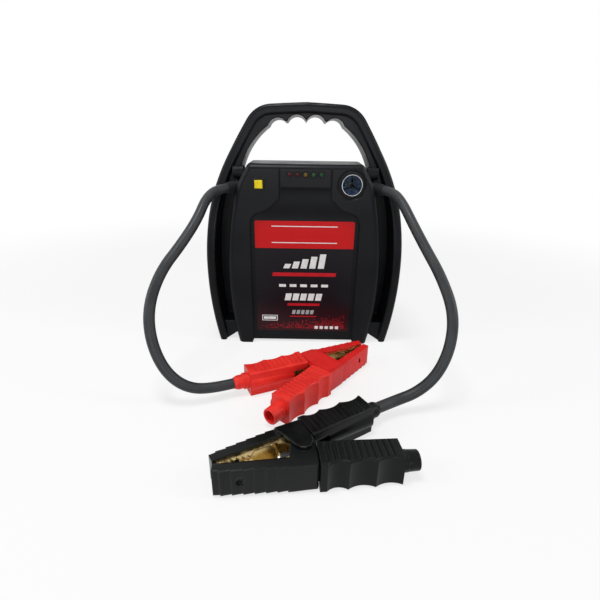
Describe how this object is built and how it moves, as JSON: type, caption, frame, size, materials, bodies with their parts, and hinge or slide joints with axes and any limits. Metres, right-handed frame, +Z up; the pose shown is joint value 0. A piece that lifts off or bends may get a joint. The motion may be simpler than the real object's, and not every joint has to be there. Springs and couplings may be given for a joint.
{
  "type": "jump starter pack",
  "caption": "Portable jump starter: a two-shell case with carrying handle, work lamp, push button, charge lights and two cables with spring clamps.",
  "frame": {"origin": "on the floor under the middle of the case, in the plane where its two shells meet", "axes": "+X across the case, +Y towards its back, +Z up"},
  "size_m": [0.3546, 0.4035, 0.337],
  "materials": {
    "case": "fine moulded grain",
    "screw": "zinc plated",
    "label": "printed film, satin",
    "trim": "smooth",
    "light_red": "clear tinted",
    "light_amber": "clear tinted",
    "light_green": "clear tinted",
    "light_white": "clear",
    "board": "bare",
    "button": "smooth",
    "reflector": "polished",
    "lens": "clear",
    "battery": "moulded",
    "terminal": "tinned",
    "cable_rubber": "matte",
    "rubber": "matte",
    "red_grip": "soft moulded",
    "red_cover": "moulded",
    "black_grip": "soft moulded",
    "black_cover": "moulded",
    "arm": "plated, stamped",
    "spring": "wound wire"
  },
  "bodies": {
    "pack": {"front_shell": "case", "rear_shell": "case", "case_screws": "screw", "label_plate": "label", "led_bezels": "trim", "leds_red": "light_red", "leds_amber": "light_amber", "leds_green": "light_green", "indicator_board": "board", "button_bezel": "trim", "switch_body": "trim", "lamp_housing": "trim", "lamp_bezel": "trim", "lamp_reflector": "reflector", "lamp_spider": "trim", "lamp_lens": "lens", "lamp_led": "light_white", "battery": "battery", "battery_terminals": "terminal", "terminal_bolts": "screw", "left_lug": "terminal", "right_lug": "terminal", "left_inner_lead": "cable_rubber", "right_inner_lead": "cable_rubber", "left_gland": "rubber", "right_gland": "rubber", "charging_jack": "trim", "jack_nut": "screw", "red_cable": "cable_rubber", "black_cable": "cable_rubber", "red_cable_grip": "red_grip", "red_cable_cover": "red_cover", "red_cable_arm": "arm", "red_cable_screw": "screw", "red_pivot_pin": "screw", "red_spring": "spring", "black_cable_grip": "black_grip", "black_cable_cover": "black_cover", "black_cable_arm": "arm", "black_cable_screw": "screw", "black_pivot_pin": "screw", "black_spring": "spring"},
    "button": {"button_cap": "button"},
    "red_clamp_half": {"red_free_grip": "red_grip", "red_free_cover": "red_cover", "red_free_arm": "arm", "red_free_screw": "screw"},
    "black_clamp_half": {"black_free_grip": "black_grip", "black_free_cover": "black_cover", "black_free_arm": "arm", "black_free_screw": "screw"}
  },
  "joints": [
    {"name": "button_press", "type": "slide", "parent": "pack", "child": "button", "axis": [0, 1, 0], "range_m": [0, 0.0018], "stiffness_N_per_m": 600, "springref_m": -0.001},
    {"name": "red_clamp_hinge", "type": "hinge", "parent": "pack", "child": "red_clamp_half", "pos_m": [0.0183, -0.1643, 0.016], "axis": [0, 0, -1], "range_deg": [0, 24], "stiffness_Nm_per_rad": 5, "springref_deg": -11.46},
    {"name": "black_clamp_hinge", "type": "hinge", "parent": "pack", "child": "black_clamp_half", "pos_m": [0.0003, -0.3056, 0.016], "axis": [0, 0, 1], "range_deg": [0, 24], "stiffness_Nm_per_rad": 5, "springref_deg": -11.46}
  ]
}
